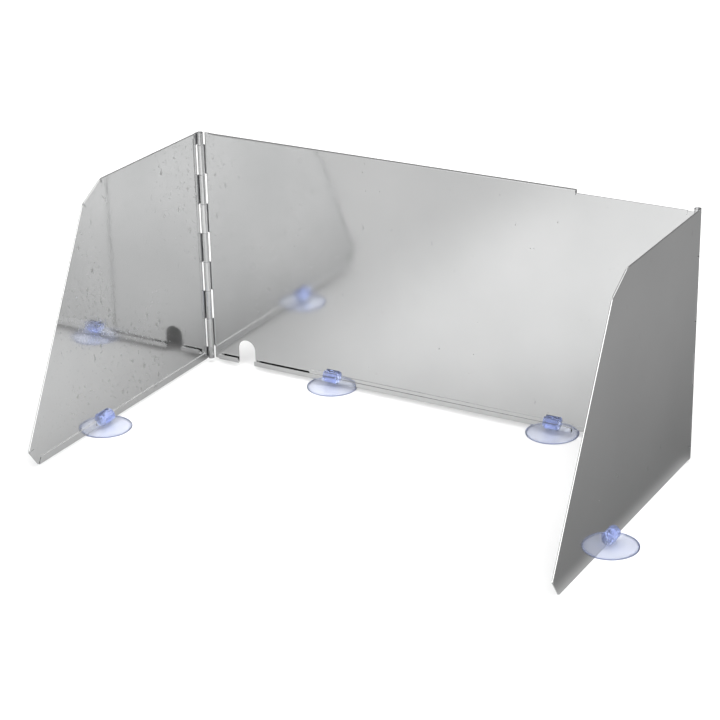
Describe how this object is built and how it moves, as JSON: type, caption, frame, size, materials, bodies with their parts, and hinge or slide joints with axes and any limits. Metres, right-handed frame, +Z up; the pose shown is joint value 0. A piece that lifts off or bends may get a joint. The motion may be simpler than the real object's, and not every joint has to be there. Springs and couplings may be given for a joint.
{
  "type": "hob splash guard",
  "caption": "Three-sided folding splash guard of steel sheet: a telescoping back wall, a hinged wing at each end, and suction cups clipped on the bottom edges.",
  "frame": {"origin": "on the ground at the centre of the guard's bounding box", "axes": "+X along the back wall, towards the sliding front panel's hinge; +Y from the open front to the back wall; +Z up"},
  "size_m": [0.5648, 0.3188, 0.2405],
  "materials": {
    "polished_steel": "bright annealed sheet, satin to polished",
    "pin_steel": "drawn wire",
    "clear_vinyl": "clear soft vinyl with a pale blue tint"
  },
  "bodies": {
    "rear_panel": {"back_panel_left": "polished_steel"},
    "front_panel": {"back_panel_right": "polished_steel"},
    "left_wing": {"wing_left": "polished_steel", "hinge_pin_left": "pin_steel"},
    "right_wing": {"wing_right": "polished_steel", "hinge_pin_right": "pin_steel"},
    "back_left_cup": {"cup_back_left": "clear_vinyl"},
    "back_right_cup": {"cup_back_right": "clear_vinyl"},
    "left_wing_cup": {"cup_wing_left": "clear_vinyl"},
    "right_wing_cup": {"cup_wing_right": "clear_vinyl"}
  },
  "joints": [
    {"name": "front_panel_slide", "type": "slide", "parent": "rear_panel", "child": "front_panel", "axis": [-1, 0, 0], "range_m": [-0.222, 0.106]},
    {"name": "left_wing_fold", "type": "hinge", "parent": "rear_panel", "child": "left_wing", "pos_m": [-0.255, 0.13305, 0.0045], "axis": [0, 0, 1], "range_deg": [-90, 76]},
    {"name": "right_wing_fold", "type": "hinge", "parent": "front_panel", "child": "right_wing", "pos_m": [0.255, 0.13305, 0.0045], "axis": [0, 0, 1], "range_deg": [-79, 90]},
    {"name": "back_left_cup_slide", "type": "slide", "parent": "rear_panel", "child": "back_left_cup", "axis": [1, 0, 0], "range_m": [-0.08, 0.18]},
    {"name": "back_right_cup_slide", "type": "slide", "parent": "rear_panel", "child": "back_right_cup", "axis": [1, 0, 0], "range_m": [-0.18, 0.0115]},
    {"name": "left_wing_cup_slide", "type": "slide", "parent": "left_wing", "child": "left_wing_cup", "axis": [0, -1, 0], "range_m": [-0.137, 0.094]},
    {"name": "right_wing_cup_slide", "type": "slide", "parent": "right_wing", "child": "right_wing_cup", "axis": [0, 1, 0], "range_m": [-0.094, 0.137]}
  ]
}
